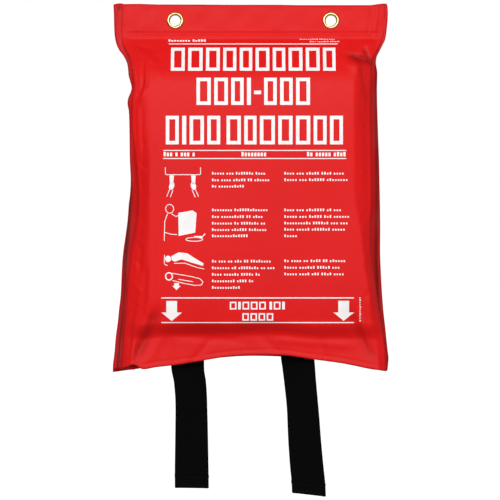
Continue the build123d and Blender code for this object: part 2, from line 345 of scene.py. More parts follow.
def points_mm(piece):
    co = np.zeros(len(piece.data.vertices) * 3)
    piece.data.vertices.foreach_get("co", co)
    return co.reshape(-1, 3) / MM


def cloth_uv(piece, flat):
    """Gives a piece its points' flat places in mm as UVs, so that the weave runs along the cloth."""
    layer = piece.data.uv_layers.new(name="cloth")
    index = np.zeros(len(piece.data.loops), int)
    piece.data.loops.foreach_get("vertex_index", index)
    layer.data.foreach_set("uv", (flat * MM)[index].ravel())


def place(piece, body, slot, *nodes):
    """Fixes a piece to its CAD body and hides the CAD nodes that it stands for; slot is not used."""
    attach(piece, body)
    if nodes:
        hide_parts(*nodes)


# ---------------------------------------------------------------- materials
class Nodes:
    """Shorthand for building one material's node tree."""

    def __init__(self, name):
        self.material = bpy.data.materials.new(name)
        self.material.use_nodes = True
        self.tree = self.material.node_tree
        self.shader = self.tree.nodes["Principled BSDF"]

    def add(self, kind, settings=None, **inputs):
        node = self.tree.nodes.new(kind)
        for key, value in (settings or {}).items():
            setattr(node, key, value)
        for key, value in inputs.items():
            self.plug(node.inputs[key.replace("_", " ")], value)
        return node

    def plug(self, socket, value):
        if isinstance(value, bpy.types.NodeSocket):
            self.tree.links.new(value, socket)
        else:
            socket.default_value = value

    def math(self, operation, a, b=0.0):
        node = self.tree.nodes.new("ShaderNodeMath")
        node.operation = operation
        self.plug(node.inputs[0], a)
        self.plug(node.inputs[1], b)
        return node.outputs[0]

    def spread(self, value, low, high):
        """Maps a 0 to 1 value to low to high."""
        return self.add("ShaderNodeMapRange", Value=value, To_Min=low, To_Max=high).outputs[0]

    def noise(self, where, scale, detail=3.0, roughness=0.5):
        node = self.add("ShaderNodeTexNoise", Vector=where, Scale=scale, Detail=detail, Roughness=roughness)
        return node.outputs["Fac"]

    def ramp(self, value, *marks):
        """A colour ramp through (place, colour) marks."""
        node = self.add("ShaderNodeValToRGB", Fac=value)
        band = node.color_ramp.elements
        while len(band) < len(marks):
            band.new(0.5)
        for element, (at, colour) in zip(band, marks):
            element.position = at
            element.color = (*colour, 1)
        return node.outputs["Color"]

    def mix(self, share, a, b):
        node = self.tree.nodes.new("ShaderNodeMix")
        node.data_type = "RGBA"
        self.plug(node.inputs[0], share)
        self.plug(node.inputs[6], a)
        self.plug(node.inputs[7], b)
        return node.outputs[2]

    def bump(self, height, strength, distance, normal=None):
        node = self.add("ShaderNodeBump", Height=height, Strength=strength, Distance=distance)
        if normal is not None:
            self.plug(node.inputs["Normal"], normal)
        return node.outputs[0]

    def finish(self, **inputs):
        for key, value in inputs.items():
            self.plug(self.shader.inputs[key.replace("_", " ")], value)
        return self.material


def plain_weave(n, across, along, pitch):
    """Height of a plain weave: threads pass over and under in turn. pitch is in metres."""
    step = math.pi / pitch
    u, v = n.math("MULTIPLY", across, step), n.math("MULTIPLY", along, step)
    over = n.math("MULTIPLY", n.math("SINE", u), n.math("SINE", v))
    warp = n.math("ABSOLUTE", n.math("SINE", u))
    weft = n.math("ABSOLUTE", n.math("SINE", v))
    side = n.math("GREATER_THAN", over, 0.0)
    other = n.math("SUBTRACT", 1.0, side)
    return n.math("ADD", n.math("MULTIPLY", warp, side), n.math("MULTIPLY", weft, other))


def object_place(n):
    return n.add("ShaderNodeTexCoord").outputs["Object"]


def cloth_place(n):
    """Place on the flat cloth, across it and along it, in metres."""
    return n.add("ShaderNodeUVMap", {"uv_map": "cloth"}).outputs[0]


def axes(n, vector):
    """The x, y and z of a vector."""
    return n.add("ShaderNodeSeparateXYZ", Vector=vector).outputs


def attribute(n, name):
    return n.add("ShaderNodeAttribute", {"attribute_name": name}).outputs["Fac"]


SCRIM = 0.0009  # pitch in metres of the scrim under the fabric's coat, which also shows through the ink
# painted shade: the dark colour that creases and folds are mixed towards
CREASE_SHADE_COLOUR = (0.085, 0.0012, 0.0010, 1)


def coated_fabric(name, base, dark, edge_tone):
    """Glossy coated fabric: a faint scrim under the coat, cloudy colour, painted shade in the creases and
    patchy darker edges.
    """
    n = Nodes(name)
    where = object_place(n)
    x, _, z = axes(n, where)
    cloud = n.noise(where, 16.0, 4.0, 0.55)
    grain = n.noise(where, 900.0, 2.0, 0.6)
    scuff = n.noise(where, 140.0, 5.0, 0.7)
    colour = n.ramp(cloud, (0.3, dark), (0.68, base))
    # painted shade in the creases and folds, by each point's amount
    colour = n.mix(attribute(n, "crease_shade"), colour, CREASE_SHADE_COLOUR)
    # the colour turns darker near the edges, in patches
    patchy = n.math("MULTIPLY", attribute(n, "edge"), n.spread(scuff, 0.3, 1.0))
    colour = n.mix(n.math("MULTIPLY", patchy, 0.6), colour, (*edge_tone, 1))
    gloss = n.math("ADD", n.spread(cloud, 0.42, 0.52), n.spread(scuff, -0.05, 0.07))
    relief = n.bump(plain_weave(n, x, z, SCRIM), 0.22, 0.00006)
    relief = n.bump(grain, 0.25, 0.00005, relief)
    relief = n.bump(cloud, 0.3, 0.0012, relief)
    return n.finish(Base_Color=colour, Roughness=gloss, Normal=relief, Specular_IOR_Level=0.13)


def print_ink():
    """White screen ink: a little uneven, and it takes the scrim's grain."""
    n = Nodes("print_ink")
    where = object_place(n)
    x, _, z = axes(n, where)
    cloud = n.noise(where, 60.0, 3.0)
    speck = n.noise(where, 1500.0, 2.0, 0.7)
    colour = n.ramp(cloud, (0.3, (0.80, 0.77, 0.77)), (0.7, (0.88, 0.87, 0.87)))
    thin = n.ramp(speck, (0.0, (1, 1, 1)), (0.30, (1, 1, 1)), (0.72, (0, 0, 0)))
    colour = n.mix(n.math("MULTIPLY", n.math("SUBTRACT", 1.0, thin), 0.06), colour, (0.85, 0.3, 0.28, 1))
    relief = n.bump(plain_weave(n, x, z, SCRIM), 0.2, 0.00006)
    relief = n.bump(speck, 0.2, 0.00004, relief)
    return n.finish(Base_Color=colour, Roughness=n.spread(cloud, 0.42, 0.55), Normal=relief,
                    Specular_IOR_Level=0.35)


def brass():
    """Pressed brass, bright with fine scratches, with painted shade in the bore and on the turned sides of
    its rolled face, which are also rougher.
    """
    n = Nodes("brass")
    where = object_place(n)
    cloud = n.noise(where, 260.0, 4.0, 0.6)
    stretched = n.add("ShaderNodeMapping", Vector=where, Scale=(4000.0, 400.0, 900.0)).outputs[0]
    scratch = n.noise(stretched, 1.0, 2.0)
    colour = n.ramp(cloud, (0.25, (0.40, 0.27, 0.08)), (0.5, (0.70, 0.52, 0.22)), (0.8, (0.86, 0.70, 0.38)))
    # painted shade by each point's amount: darker and rougher in the bore and on the roll's sides
    painted_shade = attribute(n, "edge")
    colour = n.mix(n.math("MULTIPLY", painted_shade, 0.75), colour, (0.20, 0.15, 0.06, 1))
    gloss = n.math("ADD", n.spread(scratch, 0.16, 0.32), n.math("MULTIPLY", painted_shade, 0.25))
    relief = n.bump(scratch, 0.12, 0.00004)
    relief = n.bump(cloud, 0.15, 0.0001, relief)
    return n.finish(Base_Color=colour, Metallic=1.0, Roughness=gloss, Normal=relief)


def webbing():
    """Black ribbed webbing: cords run along it and the weft crosses them."""
    n = Nodes("webbing")
    lie = cloth_place(n)
    across, along, _ = axes(n, lie)
    weave = plain_weave(n, across, along, 0.0011)
    fuzz = n.noise(lie, 2600.0, 3.0, 0.7)
    patchy = n.math("MULTIPLY", n.spread(fuzz, 0.0, 0.5), n.spread(n.noise(lie, 90.0, 3.0), 0.2, 0.9))
    # painted shade: darker where the weave is low, between the yarns
    colour = n.mix(n.spread(weave, 0.0, 0.8), (0.0006, 0.0006, 0.0007, 1), (0.0020, 0.0020, 0.0022, 1))
    colour = n.mix(patchy, colour, (0.004, 0.004, 0.0044, 1))
    relief = n.bump(weave, 0.85, 0.00035)
    relief = n.bump(fuzz, 0.4, 0.00012, relief)
    return n.finish(Base_Color=colour, Roughness=0.85, Normal=relief, Specular_IOR_Level=0.05)


def glass_cloth():
    """Heavy glass cloth: a plain weave of flat off-white yarns with a faint sheen."""
    n = Nodes("glass_cloth")
    lie = cloth_place(n)
    across, along, _ = axes(n, lie)
    weave = plain_weave(n, across, along, 0.0016)
    strand = n.noise(lie, 1800.0, 3.0, 0.65)
    cloud = n.noise(lie, 14.0, 4.0, 0.55)
    # painted shade: darker where the weave is low, between the yarns
    colour = n.mix(n.spread(weave, 0.1, 1.0), (0.42, 0.41, 0.37, 1), (0.80, 0.79, 0.74, 1))
    colour = n.mix(n.spread(cloud, 0.0, 0.35), colour, (0.66, 0.64, 0.57, 1))
    relief = n.bump(weave, 0.8, 0.0003)
    relief = n.bump(strand, 0.35, 0.0001, relief)
    return n.finish(Base_Color=colour, Roughness=n.spread(weave, 0.72, 0.5), Normal=relief,
                    Specular_IOR_Level=0.4, Sheen_Weight=0.15, Sheen_Roughness=0.35)


def thread(name, light, dark):
    """Twisted sewing thread."""
    n = Nodes(name)
    where = object_place(n)
    x, y, z = axes(n, where)
    aslant = n.math("ADD", n.math("ADD", x, z), n.math("MULTIPLY", y, 0.7))
    wave = n.math("SINE", n.math("MULTIPLY", aslant, 9000.0))
    twist = n.spread(n.math("ABSOLUTE", wave), 0.0, 1.0)
    fuzz = n.noise(where, 3000.0, 2.0)
    # painted shade: darker in the grooves of the twist
    colour = n.mix(twist, (*dark, 1), (*light, 1))
    relief = n.bump(twist, 0.6, 0.00008)
    relief = n.bump(fuzz, 0.3, 0.00005, relief)
    return n.finish(Base_Color=colour, Roughness=0.7, Normal=relief, Specular_IOR_Level=0.15)


RED_FABRIC = coated_fabric("coated_fabric", (0.680, 0.0062, 0.0062), (0.630, 0.0050, 0.0056),
                           (0.36, 0.006, 0.006))
# a darker copy of the red fabric: painted shade for the gussets and the strip inside the header
SHADED_FABRIC = coated_fabric("coated_fabric_shaded", (0.62, 0.0050, 0.0064), (0.56, 0.0042, 0.0056),
                            (0.25, 0.004, 0.004))
INK = print_ink()
BRASS = brass()
WEBBING = webbing()
GLASS_CLOTH = glass_cloth()
BLACK_THREAD = thread("black_thread", (0.004, 0.004, 0.0045), (0.001, 0.001, 0.0012))
WHITE_THREAD = thread("white_thread", (0.86, 0.85, 0.80), (0.60, 0.59, 0.55))


# ---------------------------------------------------------------- pouch panels
def panel_grid(levels, shares, left, right, head, foot):
    """x and z of a panel's grid, from its side curves and its top and bottom edges."""
    level = levels[:, None] + 0 * shares[None, :]
    share = shares[None, :] + 0 * levels[:, None]
    x = through(left, level) * (1 - share) + through(right, level) * share
    up = (level - levels[0]) / (levels[-1] - levels[0])
    z = through(foot, x) * (1 - up) + through(head, x) * up
    return x, z


def front_panel():
    """The printed front: flat in the header, full over the packet and turned in at the mouth."""
    levels = stops((-314.0, -308, 6), (-308, -292, 11), (-292, -266, 26), (-266, -60, 126), (-60, -18, 34),
                   (-18, -9, 14), (-9, 12, 16), (12, 14.5, 4))
    shares = stops((0, 0.035, 10), (0.035, 0.965, 168), (0.965, 1.0, 10))
    x, z = panel_grid(levels, shares, LEFT_RIDGE, RIGHT_RIDGE, TOP_EDGE, FRONT_FOOT)
    front = shell("pouch_front_panel", np.dstack([x, front_y(x, z), z]), CLOTH, RED_FABRIC, eyelet_mask(x, z))
    x, _, z = points_mm(front).T
    from_side = np.abs(either_side(x, LEFT_RIDGE, RIGHT_RIDGE, z)) - np.abs(x)
    from_edge = np.minimum(from_side, z - through(FRONT_FOOT, x))
    from_edge = np.minimum(from_edge, through(TOP_EDGE, x) - z)
    set_point_values(front, "edge", bell(np.maximum(from_edge, 0), 0, 1.8))
    # painted shade in the deepest valleys of the folds
    shaded_valleys = [fold for fold in FOLDS if fold[5] < -1.4]
    set_point_values(front, "crease_shade", np.clip(-0.13 * fold_relief(x, z, shaded_valleys), 0, 0.6))
    place(front, "pouch", "coated_fabric", "front_panel")


# Low folds that lift the back panel off the wall, in the same form as FOLDS.
BACK_FOLDS = [
    (-96, -40, -70, -62, 3.0, 0.7), (-92, -58, -60, -70, 2.2, 0.45), (98, -36, 78, -66, 2.6, 0.7),
    (92, -70, 64, -84, 2.4, 0.4), (-98, -150, -84, -176, 3.0, 0.4), (96, -196, 80, -230, 3.0, 0.45),
    (-90, -262, -50, -272, 3.2, 0.7), (-40, -273, 40, -270, 3.4, 0.6), (50, -271, 92, -262, 3.0, 0.7),
    (-94, -280, -104, -308, 2.4, 0.6), (96, -276, 104, -306, 2.4, 0.6), (-20, -282, -24, -300, 2.4, 0.4),
    (-66, -24, -30, -28, 3.4, 0.5), (20, -26, 62, -23, 3.2, 0.5),
]
BACK_TURN = 13.0  # width of the back panel that turns forward at each side
BACK_WELD = 0.4  # height of its side welds and of the hem at its foot


def back_y(x, z):
    """Depth of the back panel's rear face: flat on the wall, turned forward at its sides."""
    side = np.abs(either_side(x, LEFT_OUTLINE, RIGHT_OUTLINE, z))
    turn = np.clip((np.abs(x) - (side - BACK_TURN)) / BACK_TURN, 0, 1)
    header = ease(-20, -12, z)
    middle = 0.12 + 0.9 * header
    lift = 0.45 * (1 - header) * (0.5 + 0.5 * np.sin(x / 19 + 1.3 * np.sin(z / 47)) * np.sin(z / 33 + 0.7))
    lift += np.maximum(fold_relief(x, z, BACK_FOLDS), -0.05) * (1 - header)
    depth = middle + lift * (1 - turn) + (through(BACK_EDGE_DEPTH, z) - middle) * turn**2
    depth += BACK_WELD * bell(side - np.abs(x), 4.2, 0.9) * (1 - header)
    depth += 0.45 * bell(z, -13.2, 1.0) * ease(114, 106, np.abs(x))
    depth += BACK_WELD * bell(z - through(BACK_FOOT, x), 4.6, 0.9)
    return -np.maximum(depth, 0.05)


def back_panel():
    levels = stops((-315.0, -308, 4), (-308, -60, 100), (-60, -8, 28), (-8, 14.5, 12))
    shares = stops((0, 0.06, 8), (0.06, 0.94, 84), (0.94, 1.0, 8))
    x, z = panel_grid(levels, shares, RIGHT_OUTLINE, LEFT_OUTLINE, TOP_EDGE, BACK_FOOT)
    back = shell("pouch_back_panel", np.dstack([x, back_y(x, z), z]), CLOTH, RED_FABRIC, eyelet_mask(x, z))
    x, _, z = points_mm(back).T
    from_side = np.abs(either_side(x, LEFT_OUTLINE, RIGHT_OUTLINE, z)) - np.abs(x)
    set_point_values(back, "edge", bell(np.maximum(from_side, 0), 0, 1.6))
    place(back, "pouch", "coated_fabric", "back_panel")


front_panel()
back_panel()

# Painted shade along each gusset's fold, by height: where it lies from the front ridge, 0, to the outline, 1,
# then how strong it is, then how wide.
FOLD_SHADES = {
    "left": ([(16, 0.55), (-12, 0.6), (-40, 0.9), (-80, 0.9), (-120, 0.97), (-175, 0.95), (-195, 0.8),
              (-220, 0.6), (-245, 0.5), (-316, 0.42)],
             [(16, 0.45), (-12, 0.28), (-40, 0.3), (-100, 0.35), (-145, 0.6), (-165, 1.0), (-215, 1.0),
              (-240, 0.9), (-316, 0.9)],
             [(16, 0.16), (-12, 0.12), (-40, 0.2), (-120, 0.22), (-175, 0.34), (-205, 0.28), (-316, 0.2)]),
    "right": ([(16, 1.0), (-20, 1.0), (-48, 0.8), (-110, 0.72), (-190, 0.62), (-225, 0.5), (-250, 0.35),
               (-316, 0.3)],
              [(16, 0.5), (-20, 0.5), (-48, 0.85), (-230, 0.85), (-290, 0.35), (-316, 0.25)],
              [(16, 0.1), (-20, 0.12), (-48, 0.3), (-190, 0.26), (-250, 0.3), (-316, 0.34)]),
}
LEAF_GAP = 0.45  # between the rear leaf and the back panel


def gusset(side, mirror, outline, ridge_line, ridge_depth, fold_shift):
    """A side gusset: two leaves from the panels' edges to a soft fold between them."""
    levels = stops((-313.5, -300, 6), (-300, -70, 92), (-70, -10, 36), (-10, 14.0, 16))
    ridge_x = np.abs(through(ridge_line, levels)) - 0.2
    edge_x = np.abs(through(outline, levels)) - 0.5
    fold_x = np.minimum(np.abs(through(LEFT_FOLD, levels)) + fold_shift, ridge_x - 3.0)
    ridge_y = -through(ridge_depth, levels) + CLOTH
    edge_y = -through(BACK_EDGE_DEPTH, levels) - CLOTH - LEAF_GAP
    middle_y = (ridge_y + edge_y) / 2
    s = np.linspace(-1, 1, 25)[None, :]  # from the front ridge, round the fold, to the back edge
    target_x = np.where(s < 0, ridge_x[:, None], edge_x[:, None])
    target_y = np.where(s < 0, ridge_y[:, None], edge_y[:, None])
    gx = fold_x[:, None] + (target_x - fold_x[:, None]) * soft_bend(np.abs(s), 0.2)
    gy = middle_y[:, None] + (target_y - middle_y[:, None]) * np.abs(np.sin(s * math.pi / 2))
    gz = levels[:, None] + 0 * s
    ripple = 0.5 * np.sin(gz / 13 + 2.0 * mirror) + 0.35 * np.sin(gz / 5.7 + 1.0)
    gy += ripple * np.sin(np.abs(s) * math.pi) * ease(-14, -40, gz)
    if side == "left":  # the open end of the fold at the top corner
        gy += 0.7 * bell(gx, 120.8, 2.2) * bell(gz, 11.5, 3.0)
        gz = gz + 1.7 * bell(gx, 120.2, 1.9) * ease(8, 14, gz)
    grid = np.dstack([mirror * gx, gy, gz])
    piece = shell(f"pouch_{side}_gusset", grid[:, ::mirror], CLOTH - 0.1, SHADED_FABRIC)
    x, _, z = points_mm(piece).T
    outline_x = np.abs(through(outline, z))
    away = outline_x - np.abs(x)
    set_point_values(piece, "edge", 0.5 * bell(np.maximum(away, 0), 0, 1.0))
    share = 1 - away / (outline_x - np.abs(through(ridge_line, z)))
    # painted shade along the fold, deepest past the outline and in the fold's open end at the top corner
    middle, strength, width = (through(curve, z) for curve in FOLD_SHADES[side])
    fold_mouth_shade = (side == "left") * bell(x, -120.6, 1.5) * bell(z, 11.4, 2.3)
    darkest = 0.9 * np.maximum(share > 1.0, fold_mouth_shade)  # past the outline and in the fold's open end
    set_point_values(piece, "crease_shade", np.maximum(strength * bell(share, middle, width), darkest))
    place(piece, "pouch", "coated_fabric", f"{side}_gusset")


gusset("left", -1, LEFT_OUTLINE, LEFT_RIDGE, LEFT_RIDGE_DEPTH, 0.0)
gusset("right", 1, RIGHT_OUTLINE, RIGHT_RIDGE, RIGHT_RIDGE_DEPTH, 2.0)
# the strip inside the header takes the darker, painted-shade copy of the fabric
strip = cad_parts["header_strip"].data.materials
strip.clear()
strip.append(SHADED_FABRIC)


# ---------------------------------------------------------------- eyelets
TURNS = 96


def lathe(name, profile, x, material, painted_shade):
    """Turns a closed profile of (radius, y) round an eyelet's axis."""
    angle = np.linspace(0, 2 * math.pi, TURNS, endpoint=False)[:, None]
    ring = np.array(profile, float)
    n = len(ring)
    verts = np.dstack([x + ring[:, 0] * np.cos(angle), ring[:, 1] + 0 * angle, ring[:, 0] * np.sin(angle)])
    faces = [(t * n + i, t * n + (i + 1) % n, (t + 1) % TURNS * n + (i + 1) % n, (t + 1) % TURNS * n + i)
             for t in range(TURNS) for i in range(n)]
    piece = new_object(name, verts.reshape(-1, 3), faces, material)
    # each point's painted shade, repeated round the turn
    set_point_values(piece, "edge", np.tile(painted_shade, TURNS))
    return piece


def arc(cx, cy, rx, ry, start, end, count):
    turn = np.radians(np.linspace(start, end, count))
    return [(cx + rx * math.cos(t), cy + ry * math.sin(t)) for t in turn]


# Closed profiles of (radius, y), and how much painted shade each of their points takes.
BORE = 4.75
ROLL = 17  # points round the grommet's rolled face
GROMMET = ([(BORE, y) for y in (-0.05, -0.9, -1.8, -2.6)] + arc(6.25, -3.1, 1.5, 1.85, 180, 360, ROLL)
           + [(7.6, -2.95), (5.3, -2.95), (5.2, -0.5)] + arc(6.2, -0.28, 0.5, 0.26, -90, 90, 7)
           + [(5.0, -0.02)])
WASHER = [(5.25, -0.5), (5.25, -1.0), (7.4, -1.0)] + arc(7.4, -0.72, 0.35, 0.27, -90, 90, 6) + [(6.9, -0.5)]
# painted shade: the roll's crest stays bright, its sides turn darker, the bore is darkest
ROLL_SHADE = [0.35 * abs(math.cos(math.radians(a))) for a in np.linspace(180, 360, ROLL)]
GROMMET_SHADE = [1.0, 1.0, 1.0, 0.8] + ROLL_SHADE + [0.4] * (len(GROMMET) - 4 - ROLL)

for side_name, x_mid in (("left", -EYELET_X), ("right", EYELET_X)):
    place(lathe(f"{side_name}_eyelet_ring", GROMMET, x_mid, BRASS, GROMMET_SHADE), "pouch", "brass",
          f"{side_name}_eyelet_grommet")
    place(lathe(f"{side_name}_eyelet_back_ring", WASHER, x_mid, BRASS, [0.3] * len(WASHER)), "pouch", "brass",
          f"{side_name}_eyelet_washer")


# ---------------------------------------------------------------- printed face
# Flat shapes are (points, faces) in the plane of the panel, x and z in mm.
LINE = 0.65  # width of the pictures' lines
INK_LIFT, INK_SINK = 0.13, 0.04  # how far the ink stands off the panel and reaches into it


def cells(x0, x1, z0, z1, step=1.5):
    """A rectangle divided into a grid."""
    nx, nz = max(1, math.ceil((x1 - x0) / step)), max(1, math.ceil((z1 - z0) / step))
    gx, gz = np.meshgrid(np.linspace(x0, x1, nx + 1), np.linspace(z0, z1, nz + 1))
    at = np.arange((nx + 1) * (nz + 1)).reshape(nz + 1, nx + 1)
    faces = np.stack([at[:-1, :-1], at[:-1, 1:], at[1:, 1:], at[1:, :-1]], -1).reshape(-1, 4)
    return np.stack([gx.ravel(), gz.ravel()], 1), faces.tolist()


def stroke(points, width, step=1.5):
    """A drawn line with round ends."""
    path = np.array(points, float)
    lengths = run_along(path)
    total, r = lengths[-1], width / 2
    ends = r * np.array([0, 0.12, 0.4, 1.0])
    inner = [total / 2]
    if total > width:
        inner = np.linspace(r, total - r, max(2, math.ceil((total - width) / step) + 1))
    at = np.unique(np.r_[ends, inner, total - ends])
    centre = np.stack([np.interp(at, lengths, path[:, 0]), np.interp(at, lengths, path[:, 1])], 1)
    ahead = np.gradient(centre, axis=0)
    ahead /= np.linalg.norm(ahead, axis=1, keepdims=True)
    left = np.stack([-ahead[:, 1], ahead[:, 0]], 1)
    near = np.clip(np.minimum(at, total - at) / r, 0, 1)
    half = r * np.sqrt(np.maximum(1 - (1 - near) ** 2, 0.02))[:, None]
    verts = np.concatenate([centre - left * half, centre + left * half])
    n = len(at)
    return verts, [(i, i + 1, n + i + 1, n + i) for i in range(n - 1)]


def patch(outline, step=2.0):
    """A filled outline, cut into small faces."""
    work = bmesh.new()
    work.faces.new([work.verts.new((px, 0, pz)) for px, pz in outline])
    work.normal_update()
    bmesh.ops.triangulate(work, faces=work.faces[:])
    lows, highs = np.min(outline, 0), np.max(outline, 0)
    for axis, low, high in ((0, lows[0], highs[0]), (2, lows[1], highs[1])):
        for cut in np.arange(low + step, high, step):
            spot, facing = [0, 0, 0], [0, 0, 0]
            spot[axis], facing[axis] = cut, 1
            everything = work.verts[:] + work.edges[:] + work.faces[:]
            bmesh.ops.bisect_plane(work, geom=everything, plane_co=spot, plane_no=facing)
    work.verts.index_update()
    verts = np.array([(v.co.x, v.co.z) for v in work.verts])
    faces = []
    for f in work.faces:
        ring = [v.index for v in f.verts]
        px, pz = verts[ring, 0], verts[ring, 1]
        if np.sum(px * np.roll(pz, -1) - np.roll(px, -1) * pz) < 0:
            ring.reverse()
        faces.append(ring)
    work.free()
    return verts, faces


def oval(cx, cz, rx, rz, tilt=0, count=20):
    """Outline of an ellipse."""
    a, t = np.linspace(0, 2 * math.pi, count, endpoint=False), math.radians(tilt)
    c, s = math.cos(t), math.sin(t)
    return [(cx + p * c - q * s, cz + p * s + q * c) for p, q in zip(rx * np.cos(a), rz * np.sin(a))]


def ring_line(cx, cz, rx, rz, width):
    loop = oval(cx, cz, rx, rz, count=28)
    return stroke(loop + loop[:1], width, 1.0)


def ink(name, shapes):
    """Lays flat shapes on the front panel as a thin coat of ink."""
    verts, faces, start = [], [], 0
    for points, ring in shapes:
        verts.append(points)
        faces += [[start + i for i in f] for f in ring]
        start += len(points)
    x, z = np.concatenate(verts).T
    outer = np.stack([x, front_y(x, z) - INK_LIFT, z], 1)
    inner = outer + np.array([0, INK_LIFT + INK_SINK, 0])
    edges = {(a, b) for f in faces for a, b in zip(f, f[1:] + f[:1])}
    rims = sorted((b, a, a + start, b + start) for a, b in edges if (b, a) not in edges)
    under = [[i + start for i in reversed(f)] for f in faces]
    piece = new_object(name, np.concatenate([outer, inner]), faces + under + rims, INK, smooth=False)
    place(piece, "pouch", "print_ink")


def glyph(x0, x1, z0, z1, stem):
    """One mark of a heading: a plain box that stands for a character, or a bar for a narrow one."""
    if x1 - x0 < 3 * stem:
        return [cells(x0, x1, z0, z1)]
    return [cells(x0, x0 + stem, z0, z1), cells(x1 - stem, x1, z0, z1),
            cells(x0 + stem, x1 - stem, z1 - stem, z1), cells(x0 + stem, x1 - stem, z0, z0 + stem)]


def heading(x0, x1, z0, z1, widths, gap, stem, space=5.6):
    """A row of marks of the given relative widths; 0 is a space."""
    gaps = sum(1 for a, b in zip(widths, widths[1:]) if a and b)
    unit = (x1 - x0 - gaps * gap - space * widths.count(0)) / sum(widths)
    shapes, at = [], x0
    for i, w in enumerate(widths):
        if w == 0:
            at += space
            continue
        shapes += glyph(at, at + w * unit, z0, z1, stem)
        at += w * unit + (gap if i + 1 < len(widths) and widths[i + 1] else 0)
    return shapes


def words(x0, z, lengths, wide, gap, low=1.55, tall=2.25):
    """One line of small text as plain blocks, one for each character; some stand taller."""
    shapes, at, count = [], x0, 0
    for length in lengths:
        for _ in range(length):
            height = tall if (count * 7 + count // 3) % 5 in (0, 3) else low
            shapes.append(cells(at, at + wide, z - low / 2, z - low / 2 + height))
            at += wide + gap
            count += 1
        at += wide
    return shapes


title = heading(-73.5, 73.7, -46.3, -24.8, [1.05, 1.1, 1.05, 1, 0.95, 1.05, 0.95, 1.05, 1.05, 0.95], 3.0, 2.9)
title += heading(-50.5, -2.0, -77.0, -52.6, [1.1, 1.05, 0.95, 0.3], 3.0, 3.1)
title += [cells(0.8, 7.1, -67.4, -64.2)]
title += heading(9.8, 50.7, -77.0, -52.6, [0.95, 0.95, 1.05], 3.0, 3.1)
title += heading(-77.8, 80, -112.2, -86.7, [0.95, 0.3, 1.05, 0.95, 0, 1.05, 0.9, 1.1, 1.05, 1.05, 0.95, 0.95],
                 3.0, 3.1)
ink("print_heading", title)

RULES = [(-75.7, 75.9, -21.3, 0.8), (-80.2, 83.1, -117.6, 0.8), (-80.2, 83.1, -124.8, 0.8),
         (-82, 89.9, -249, 1.0), (-82, 89.9, -271, 0.9)]  # from x, to x, z, width
ink("print_rules", [stroke([(x0, z), (x1, z)], width) for x0, x1, z, width in RULES])

# Lines of the two columns: height, then the number of characters in each word.
LEFT_COLUMN = [
    (-138.3, (5, 3, 7, 4)), (-144.2, (3, 4, 5, 2, 6)), (-149.8, (2, 10)), (-170.9, (8, 13)),
    (-176.9, (3, 9, 2, 4)), (-182.8, (8, 2, 7, 2)), (-188.5, (7, 6, 7)), (-194, (14,)),
    (-216.6, (2, 3, 2, 3, 2, 8)), (-222.5, (7, 2, 8, 2, 3)), (-228.3, (4, 6, 5, 2)), (-234.2, (9, 4, 2)),
    (-240, (11,)),
]
RIGHT_COLUMN = [
    (-138.3, (4, 3, 5, 4, 4)), (-144, (5, 3, 6, 8)), (-170.9, (4, 3, 7, 2, 3)), (-176.8, (5, 3, 5, 3, 6)),
    (-182.6, (10, 6, 3, 3)), (-188.2, (4, 5, 7, 5)), (-194, (5,)), (-216.2, (2, 4, 2, 4, 2, 6)),
    (-222.1, (5, 6, 5, 3)), (-228, (5, 4, 3, 4, 4)),
]
text = []
for line, lengths in LEFT_COLUMN:
    text += words(-36.6, line, lengths, 1.3, 1.03)
for line, lengths in RIGHT_COLUMN:
    text += words(27.8, line, lengths, 1.35, 1.07)
for at, lengths in ((-79.8, (3, 1, 3, 1)), (-10.4, (8,)), (48, (2, 5, 4))):
    text += words(at, -121.2, lengths, 1.95, 0.9, 3.2, 3.9)
text += words(-76, -18.4, (8, 5), 1.7, 0.8, 1.5, 2.1)
text += words(42, -17.0, (5, 7, 6, 4), 0.7, 0.65, 0.6, 0.9)
text += words(51, -19.2, (4, 7, 6), 0.85, 0.65, 0.7, 1.0)
text += [cells(94.7, 95.7 + 0.5 * (k % 3 == 0), -270 + 2.05 * k, -269 + 2.05 * k) for k in range(11)]
text += heading(-20.8, 28.2, -259.3, -252.4, [1.0, 0.4, 1.0, 1.0, 1.0, 0, 0.4, 1.0, 0.4], 1.5, 1.25, 3.2)
text += heading(-9.6, 17.9, -269.2, -262.6, [1, 1, 1, 1], 1.5, 1.25)
ink("print_text", text)


def arrow(x_mid, head_top, tip, shaft_top, shaft=4.8, head=9.2):
    """An arrow that points down; shaft and head are half widths."""
    right = [(x_mid + shaft, shaft_top), (x_mid + shaft, head_top), (x_mid + head, head_top)]
    left = [(x_mid - head, head_top), (x_mid - shaft, head_top), (x_mid - shaft, shaft_top)]
    return patch(right + [(x_mid, tip)] + left)


ink("print_arrows", [arrow(-72.6, -262.0, -269.6, -251.7), arrow(80.7, -262.0, -269.4, -251.6)])

